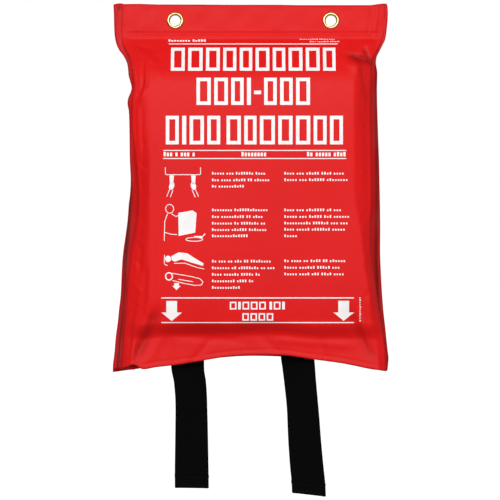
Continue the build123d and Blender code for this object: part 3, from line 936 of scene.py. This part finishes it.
picture = [
    # the foot of the pouch with its two tapes, and a hand on each
    stroke([(-78.2, -132.6), (-78.2, -139.2), (-46.9, -139.2), (-46.9, -132.6)], LINE),
    patch([(-74.2, -147.5), (-71.2, -147.5), (-70.6, -139.8), (-74.6, -139.8)]),
    patch([(-54.6, -147.5), (-51.6, -147.5), (-51.2, -139.8), (-55.2, -139.8)]),
    patch(oval(-72.6, -149.2, 2.3, 3.6, -18)), patch(oval(-53.2, -149.2, 2.3, 3.6, 18)),
    stroke([(-74.3, -152.0), (-77.0, -158.8)], LINE), stroke([(-71.4, -152.6), (-73.8, -159.3)], LINE),
    stroke([(-51.6, -152.0), (-48.6, -158.8)], LINE), stroke([(-54.4, -152.6), (-51.6, -159.3)], LINE),
    # a blanket lowered over a pan, from behind it
    ring_line(-74.4, -169.6, 3.6, 3.9, LINE), stroke([(-76.2, -173.8), (-78.8, -181), (-79.2, -198.4)], LINE),
    stroke([(-72.6, -174.2), (-68.4, -176.6), (-66.4, -175.2)], LINE),
    stroke([(-78.6, -190.6), (-73.6, -192.2), (-67.6, -192.6)], LINE),
    patch([(-66.4, -193.8), (-58.6, -192.2), (-51.6, -190.8), (-50.4, -173.6), (-53.8, -171.0),
           (-66.6, -173.2)]),
    stroke([(-52.8, -194.6), (-44.6, -194.6)], 1.6), stroke([(-44.6, -193.8), (-42.6, -191.8)], 0.9),
    ring_line(-52.4, -196.8, 7.6, 1.7, LINE),
    # someone lying down, and then wrapped, with the way to roll
    patch(oval(-75.8, -214.2, 2.6, 2.9)),
    stroke([(-79.0, -210.6), (-79.2, -218.8), (-76.2, -220.2)], LINE),
    patch([(-72.6, -215.4), (-69.6, -216.6), (-63.6, -214.6), (-54.6, -217.6), (-44.8, -220.4),
           (-44.2, -218.2), (-52.2, -213.4), (-58.8, -209.2), (-66.4, -208.4), (-72.8, -211.8)]),
    stroke([(-70.6, -218.2), (-60.6, -218.0), (-50.2, -221.8), (-43.6, -223.2)], LINE),
    ring_line(-75.0, -229.8, 3.0, 3.3, 1.1),
    stroke([(-72.6, -227.0), (-56.6, -229.6), (-47.4, -231.8), (-44.6, -234.8), (-46.2, -237.6),
            (-51.8, -237.8), (-61.8, -236.0), (-72.0, -233.4)], LINE),
    stroke([(-66.6, -232.4), (-53.6, -234.6)], LINE),
    patch([(-70.4, -238.2), (-72.0, -238.2), (-68.3, -242.0), (-64.6, -238.2), (-66.2, -238.2),
           (-66.2, -235.8), (-70.4, -235.8)]),
]
ink("print_pictures", picture)


# ---------------------------------------------------------------- folded blanket
PACKET_LEFT, PACKET_RIGHT = -96.0, 96.0
PACKET_FOOT, PACKET_HEAD = -273.0, -48.0
PACKET_FRONT, PACKET_BACK = -26.4, -1.3
LAYERS_ACROSS, LAYERS_ALONG = 6, 8
LAYER = (PACKET_BACK - PACKET_FRONT) / (LAYERS_ACROSS * LAYERS_ALONG)
BUNDLE = LAYER * LAYERS_ACROSS  # thickness once it is folded across
GLASS_THICKNESS = 0.36  # of the modelled sheet
SIDE_ZONE, END_ZONE = 12, 8  # how far from its sides and ends the packet gets thinner


def pleats(low, high, count, radius, flat_steps, bend_steps):
    """An accordion path between two ends: the length along it, the place and the height."""
    path, cut = [], 0.0
    for i in range(count):
        a, b, sign = (low + radius, high - radius, 1) if i % 2 == 0 else (high - radius, low + radius, -1)
        for k in range(flat_steps + 1):
            f = k / flat_steps
            path.append((cut + f * abs(b - a), a + f * (b - a), 2 * radius * i))
        cut += abs(b - a)
        if i < count - 1:
            for k in range(1, bend_steps):
                t = math.pi * k / bend_steps
                path.append((cut + radius * t, b + sign * radius * math.sin(t),
                             2 * radius * i + radius * (1 - math.cos(t))))
            cut += math.pi * radius
    return np.array(path).T


def folded_sheet():
    """The sheet folded across and then along: x, depth and z of its grid, and its flat places."""
    cut_across, x, layer_at = pleats(PACKET_LEFT, PACKET_RIGHT, LAYERS_ACROSS, LAYER / 2, 10, 4)
    cut_along, z, bundle_at = pleats(PACKET_FOOT, PACKET_HEAD, LAYERS_ALONG, BUNDLE / 2, 14, 8)
    travel = np.stack([np.gradient(z), np.gradient(bundle_at)], 1)
    travel /= np.maximum(np.linalg.norm(travel, axis=1, keepdims=True), 1e-9)
    # the layers of the bundle are stacked square to its direction of travel
    offset = layer_at - (BUNDLE - LAYER) / 2
    z = z[:, None] - travel[:, 1:] * offset
    depth = bundle_at[:, None] + BUNDLE / 2 + travel[:, :1] * offset
    return x + 0 * z, depth, z, np.dstack([cut_across + 0 * z, cut_along[:, None] + 0 * z])


def folded_blanket():
    """The packet, thinner and less even towards its sides and ends."""
    x, depth, z, flat = folded_sheet()
    total = BUNDLE * LAYERS_ALONG
    level = depth / total  # 0 at the front, 1 at the back
    half_x, half_z = (PACKET_RIGHT - PACKET_LEFT) / 2, (PACKET_HEAD - PACKET_FOOT) / 2
    mid_z = (PACKET_HEAD + PACKET_FOOT) / 2
    near_side = np.clip((np.abs(x) - half_x + SIDE_ZONE) / SIDE_ZONE, 0, 1)
    near_end = np.clip((np.abs(z - mid_z) - half_z + END_ZONE) / END_ZONE, 0, 1)
    thin = 1 - 0.5 * (1 - np.sqrt(1 - near_side**2 * 0.96)) - 0.34 * (1 - np.sqrt(1 - near_end**2 * 0.96))
    wave = 0.35 * np.sin(x / 23 + 0.6) * np.sin(z / 31 + 1.1)
    puff = wave * (1 - 2 * level) * (1 - near_side) * (1 - near_end)
    y = (PACKET_FRONT + PACKET_BACK) / 2 + (level - 0.5) * total * thin + puff * 0.4
    sideways, endways = near_side * np.sign(x), near_end * np.sign(z - mid_z)
    x = x + 0.5 * np.sin(level * 37 + z / 40) * sideways - 0.5 * sideways
    z = z + 0.4 * np.sin(level * 31 + x / 35) * endways - 0.4 * endways
    piece = shell("folded_blanket_sheet", np.dstack([x, y, z]), GLASS_THICKNESS, GLASS_CLOTH)
    cloth_uv(piece, np.tile(flat.reshape(-1, 2), (2, 1)))
    place(piece, "blanket", "glass_cloth", "folded_blanket")
    return piece


blanket = folded_blanket()


# ---------------------------------------------------------------- pull tapes
WEB = 1.4  # thickness
WEB_WIDTH = 30.5
SEWN_Y, HANG_Y = -26.7 - WEB / 2, -9.0  # where a tape is sewn on and where it hangs
SEWN_TOP, SEWN_FOOT = -212, -263
# the middle line of each tape and how far it twists, in degrees, by height
LEFT_MIDDLE = [(-205, -58.5), (-300, -59.0), (-313, -58.6), (-325, -56.6), (-344, -55.4), (-364, -55.2),
               (-411, -55.1), (-421, -55.0)]
RIGHT_MIDDLE = [(-205, 40.5), (-300, 39.8), (-313, 41.0), (-328, 42.5), (-349, 44.5), (-378, 46.3),
                (-402, 48.3), (-415, 49.6), (-428, 50.2)]
TWIST = [(-205, 0), (-285, 0), (-302, 10), (-325, 20), (-345, 22), (-365, 18), (-395, 10), (-412, 3),
         (-428, 0)]
# the way from the packet's front round its foot, as (y, z)
TURN_UNDER = [(SEWN_Y, SEWN_FOOT), (SEWN_Y + 0.1, -266.6), (SEWN_Y + 1.3, -269.8), (SEWN_Y + 3.5, -272.4),
              (SEWN_Y + 6.6, -275.3), (-16.6, -279.6), (-12.6, -284.8), (-10.1, -290.2), (HANG_Y - 0.1, -296),
              (HANG_Y, -300)]
FOLD_RADIUS = WEB / 2 + 0.15
HEM_TOP, HEM_LIP = 11.6, 10.8  # above a tape's end: where its hem stops, and the swelling there
HEM_LENGTH = 13  # of the webbing that is folded back
FLAT_POINTS, ROUND_POINTS = 23, 5  # of the section: across each face and round each selvedge

# Each tape: its middle line, the height of its end, the way it twists, how far its end slants, its flat size
# in metres, and the x of its sewn top and of its end.
TAPES = {
    "left": {"middle": LEFT_MIDDLE, "end_z": -419.5, "sway": -1.0, "slant": 0.6, "flat": (0.0305, 0.228),
             "sewn_x": -58.7, "end_x": -55.0},
    "right": {"middle": RIGHT_MIDDLE, "end_z": -426.2, "sway": 1.0, "slant": 1.6, "flat": (0.0305, 0.235),
              "sewn_x": 40.1, "end_x": 50.1},
}


def tape_path(end_z):
    """Middle of the webbing's thickness, from its sewn top to the top of its hem, as (y, z) points."""
    path = [(SEWN_Y, z) for z in np.linspace(SEWN_TOP, SEWN_FOOT, 27)]
    run = run_along(np.array(TURN_UNDER))
    at = np.linspace(0, run[-1], 26)[1:]
    bend_y, bend_z = (through(list(zip(run, line)), at) for line in zip(*TURN_UNDER))
    path += list(zip(bend_y, bend_z))
    path += [(HANG_Y, z) for z in np.arange(-301.5, end_z + 0.9, -1.5)]
    foot = path[-1][1]
    path += [(HANG_Y + FOLD_RADIUS * (1 - math.cos(t)), foot - FOLD_RADIUS * math.sin(t))
             for t in np.radians(np.linspace(0, 180, 9))[1:]]
    path += [(HANG_Y + 2 * FOLD_RADIUS, z) for z in np.linspace(foot, end_z + HEM_TOP, 8)[1:]]
    return np.array(path)


def tape_section():
    """The webbing's closed outline: a flat band with rounded, slightly raised selvedges."""
    half, r = WEB_WIDTH / 2 - WEB / 2, WEB / 2
    flat = np.linspace(-1, 1, FLAT_POINTS) * half
    ring = [(s, r) for s in flat] + arc(half, 0, r, r, 90, -90, ROUND_POINTS + 2)[1:-1]
    ring += [(s, -r) for s in flat[::-1]] + arc(-half, 0, -r, r, -90, 90, ROUND_POINTS + 2)[1:-1]
    ring = np.array(ring)
    ring[:, 1] += 0.16 * bell(np.abs(ring[:, 0]), 13.2, 0.9) * np.sign(ring[:, 1])
    return ring


def tape_faces(rings):
    """Faces of a tape from the number of its rings of points: its sides, then both ends."""
    n = 2 * (FLAT_POINTS + ROUND_POINTS)
    faces = [(i * n + k, i * n + (k + 1) % n, (i + 1) * n + (k + 1) % n, (i + 1) * n + k)
             for i in range(rings - 1) for k in range(n)]
    front = list(range(FLAT_POINTS))
    right = [FLAT_POINTS + k for k in range(ROUND_POINTS)]
    back = [FLAT_POINTS + ROUND_POINTS + k for k in front][::-1]
    left = [back[0] + 1 + k for k in range(ROUND_POINTS)]
    caps = [(front[k], back[k], back[k + 1], front[k + 1]) for k in range(FLAT_POINTS - 1)]
    selvedges = [[front[-1]] + right + [back[-1]], [back[0]] + left + [front[0]]]
    last = (rings - 1) * n
    faces += caps + [cap[::-1] for cap in selvedges]
    faces += [[last + k for k in cap[::-1]] for cap in caps]
    return faces + [[last + k for k in cap] for cap in selvedges]


def tape(name, middle, end_z, sway, slant):
    """One pull tape: sewn top, turn under the packet, free length and the end folded back behind it."""
    path, ring = tape_path(end_z), tape_section()
    run = run_along(path)
    ahead = np.gradient(path, axis=0)
    ahead /= np.linalg.norm(ahead, axis=1, keepdims=True)
    y, z = path.T
    twist = np.radians(through(TWIST, z)) * sway
    drift = 0.8 * np.sin((z + 300) / 26) * ease(-300, -330, z) * ease(-428, -404, z)
    in_hem = run[-1] - run < HEM_LENGTH
    wider = 1 + 0.4 * bell(z, end_z + HEM_LIP, 1.4) / 15 * in_hem
    # one ring of points at each point of the path, turned by the twist
    w, t = ring[:, 0] * wider[:, None], ring[:, 1]
    c, s = np.cos(twist)[:, None], np.sin(twist)[:, None]
    aside, out = w * c - t * s, w * s + t * c
    askew = slant * w / (WEB_WIDTH / 2) * ease(-375, end_z, z)[:, None]
    verts = np.dstack([through(middle, z)[:, None] + aside, (y + drift)[:, None] + ahead[:, 1:] * out,
                       z[:, None] - ahead[:, :1] * out - askew])
    piece = new_object(name, verts.reshape(-1, 3), tape_faces(len(path)), WEBBING)
    face_outwards(piece)
    cloth_uv(piece, np.dstack([ring[:, 0] + 20 + 0 * w, run[:, None] + 0 * w]).reshape(-1, 2))
    return piece


for side_name, plan in TAPES.items():
    strap = tape(f"{side_name}_pull_strap", plan["middle"], plan["end_z"], plan["sway"], plan["slant"])
    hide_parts(f"{side_name}_tape_top", f"{side_name}_pull_tape")
    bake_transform(strap)


# ---------------------------------------------------------------- stitches
STITCH, PITCH, THREAD_RADIUS = 2.7, 3.8, 0.32
SWELL = [0.35, 0.8, 1.0, 1.0, 0.8, 0.35]  # a stitch's thickness from end to end
SIDES = 8


def face_of(piece, x, z, reach):
    """Depth of a piece's foremost face near a place."""
    points = points_mm(piece)
    near = np.hypot(points[:, 0] - x, points[:, 2] - z) < reach
    return points[near, 1].min()


def sewing(name, cloth, seams, material, reach=2.5):
    """Raised stitches along straight seams, laid on the front of a cloth."""
    verts, faces = [], []
    turn = np.linspace(0, 2 * math.pi, SIDES, endpoint=False)
    for (x0, z0), (x1, z1) in seams:
        run = math.hypot(x1 - x0, z1 - z0)
        dx, dz = (x1 - x0) / run, (z1 - z0) / run
        steps = int((run - STITCH) // PITCH)
        first = (run - steps * PITCH) / 2
        for at in first + PITCH * np.arange(steps + 1):
            x, z = x0 + dx * at, z0 + dz * at
            y = face_of(cloth, x, z, reach)
            start = len(verts) * SIDES
            for f, wide in zip(np.linspace(-0.5, 0.5, len(SWELL)), SWELL):
                side, lift = THREAD_RADIUS * wide * np.cos(turn), THREAD_RADIUS * wide * np.sin(turn)
                bow = 0.45 * THREAD_RADIUS * (1 - (2 * f) ** 2)
                verts.append(np.stack([x + dx * f * STITCH - dz * side, y - bow - lift,
                                       z + dz * f * STITCH + dx * side], 1))
            for a in range(start, start + (len(SWELL) - 1) * SIDES, SIDES):
                faces += [(a + k, a + (k + 1) % SIDES, a + (k + 1) % SIDES + SIDES, a + k + SIDES)
                          for k in range(SIDES)]
            faces.append(tuple(start + k for k in reversed(range(SIDES))))
            faces.append(tuple(start + (len(SWELL) - 1) * SIDES + k for k in range(SIDES)))
    piece = new_object(name, np.concatenate(verts), faces, material)
    face_outwards(piece)
    return piece


HEM_SEAMS = [((-82, -261), (-82, -60)), ((-78, -265), (82, -265))]
BOX_FOOT, BOX_LOW, BOX_HIGH, SEAM_REACH = -260.0, -247.0, -215.0, 12.2  # a tape's sewing, and its half width

hem = sewing("blanket_hem_sewing", blanket, HEM_SEAMS, WHITE_THREAD, 11.0)
place(hem, "blanket", "white_thread", "hem_stitching")
for side_name, plan in TAPES.items():
    strap = bpy.data.objects[f"{side_name}_pull_strap"]
    left, right = plan["sewn_x"] - SEAM_REACH, plan["sewn_x"] + SEAM_REACH
    corners = [(left, BOX_LOW), (right, BOX_LOW), (right, BOX_HIGH), (left, BOX_HIGH)]
    box = list(zip(corners, corners[1:] + corners[:1])) + [(corners[0], corners[2]), (corners[1], corners[3])]
    box.append(((left, BOX_FOOT), (right, BOX_FOOT)))
    place(sewing(f"{side_name}_strap_box_sewing", strap, box, BLACK_THREAD), "blanket", "black_thread",
          f"{side_name}_tape_stitching")
    tilt = plan["slant"] * SEAM_REACH / (WEB_WIDTH / 2)
    left, right = plan["end_x"] - SEAM_REACH, plan["end_x"] + SEAM_REACH
    end_rows = [((left, z + tilt), (right, z - tilt)) for z in (plan["end_z"] + 3.0, plan["end_z"] + 9.0)]
    place(sewing(f"{side_name}_strap_end_sewing", strap, end_rows, BLACK_THREAD), f"{side_name}_tape",
          "black_thread", f"{side_name}_end_stitching")


# ---------------------------------------------------------------- floor, light and camera, in metres
def pale_floor():
    """A pale floor that stays white in view but throws little light back up at the object."""
    n = Nodes("pale_floor")
    colour = n.ramp(n.noise(object_place(n), 3.0), (0.0, (0.60, 0.60, 0.60)), (1.0, (0.63, 0.63, 0.63)))
    n.finish(Base_Color=colour, Roughness=0.9, Specular_IOR_Level=0.1, Emission_Color=(1, 1, 1, 1),
             Emission_Strength=0.82)
    bounce = n.add("ShaderNodeBsdfDiffuse", Color=(0.3, 0.3, 0.3, 1)).outputs[0]
    clear = n.add("ShaderNodeBsdfTransparent").outputs[0]
    in_view = n.add("ShaderNodeLightPath").outputs["Is Camera Ray"]
    under = n.add("ShaderNodeNewGeometry").outputs["Backfacing"]
    top = n.add("ShaderNodeMixShader", Fac=in_view)
    n.plug(top.inputs[1], bounce)
    n.plug(top.inputs[2], n.shader.outputs[0])
    whole = n.add("ShaderNodeMixShader", Fac=under)
    n.plug(whole.inputs[1], top.outputs[0])
    n.plug(whole.inputs[2], clear)
    n.tree.links.new(whole.outputs[0], n.tree.nodes["Material Output"].inputs["Surface"])
    return n.material


def soft_light(name, at, size, power):
    """A rectangular lamp that faces the object."""
    lamp = bpy.data.lights.new(name, "AREA")
    lamp.shape = "RECTANGLE"
    lamp.size, lamp.size_y = size
    lamp.energy = power
    holder = bpy.data.objects.new(name, lamp)
    holder.location = at
    holder.rotation_euler = (Vector(LIT_POINT) - Vector(at)).to_track_quat("-Z", "Y").to_euler()
    bpy.context.scene.collection.objects.link(holder)


def studio_world():
    """A white backdrop that lights the object less than it shows."""
    world = bpy.data.worlds.new("studio")
    world.use_nodes = True
    nodes, links = world.node_tree.nodes, world.node_tree.links
    shown, lit = nodes["Background"], nodes.new("ShaderNodeBackground")
    for background, strength in ((shown, 1.0), (lit, 0.42)):
        background.inputs["Color"].default_value = (1, 1, 1, 1)
        background.inputs["Strength"].default_value = strength
    choice, path_kind = nodes.new("ShaderNodeMixShader"), nodes.new("ShaderNodeLightPath")
    links.new(path_kind.outputs["Is Camera Ray"], choice.inputs[0])
    links.new(lit.outputs[0], choice.inputs[1])
    links.new(shown.outputs[0], choice.inputs[2])
    links.new(choice.outputs[0], nodes["World Output"].inputs["Surface"])
    return world


FLOOR_Z, FLOOR_HALF = -800.0, 60000.0  # mm, as new_object takes them
LIT_POINT = (0.0, 0.0, -0.16)

corners = [(sx * FLOOR_HALF, sy * FLOOR_HALF, FLOOR_Z) for sx, sy in ((-1, -1), (1, -1), (1, 1), (-1, 1))]
new_object("floor", corners, [(0, 1, 2, 3)], pale_floor(), smooth=False)
soft_light("key_light", (-0.15, -2.0, 0.5), (2.2, 0.9), 42.5)
soft_light("side_light", (1.8, -0.9, 0.2), (0.8, 1.2), 2)
soft_light("back_light", (0.6, 1.8, 1.3), (1.2, 1.2), 46)
bpy.context.scene.world = studio_world()
bpy.context.scene.view_settings.view_transform = "Standard"

# The camera looks straight at the middle of the hung pouch.
CAMERA_DISTANCE = 3.0
FRAME_WIDTH = 0.45
AIM_X, AIM_Z = -0.0028, -0.2063
camera = bpy.data.cameras.new("camera")
camera.sensor_width = 36.0
camera.lens = camera.sensor_width * CAMERA_DISTANCE / FRAME_WIDTH
camera.clip_end = 200.0
viewer = bpy.data.objects.new("camera", camera)
viewer.location = (AIM_X, -CAMERA_DISTANCE, AIM_Z)
viewer.rotation_euler = (math.pi / 2, 0, 0)
bpy.context.scene.collection.objects.link(viewer)
bpy.context.scene.camera = viewer
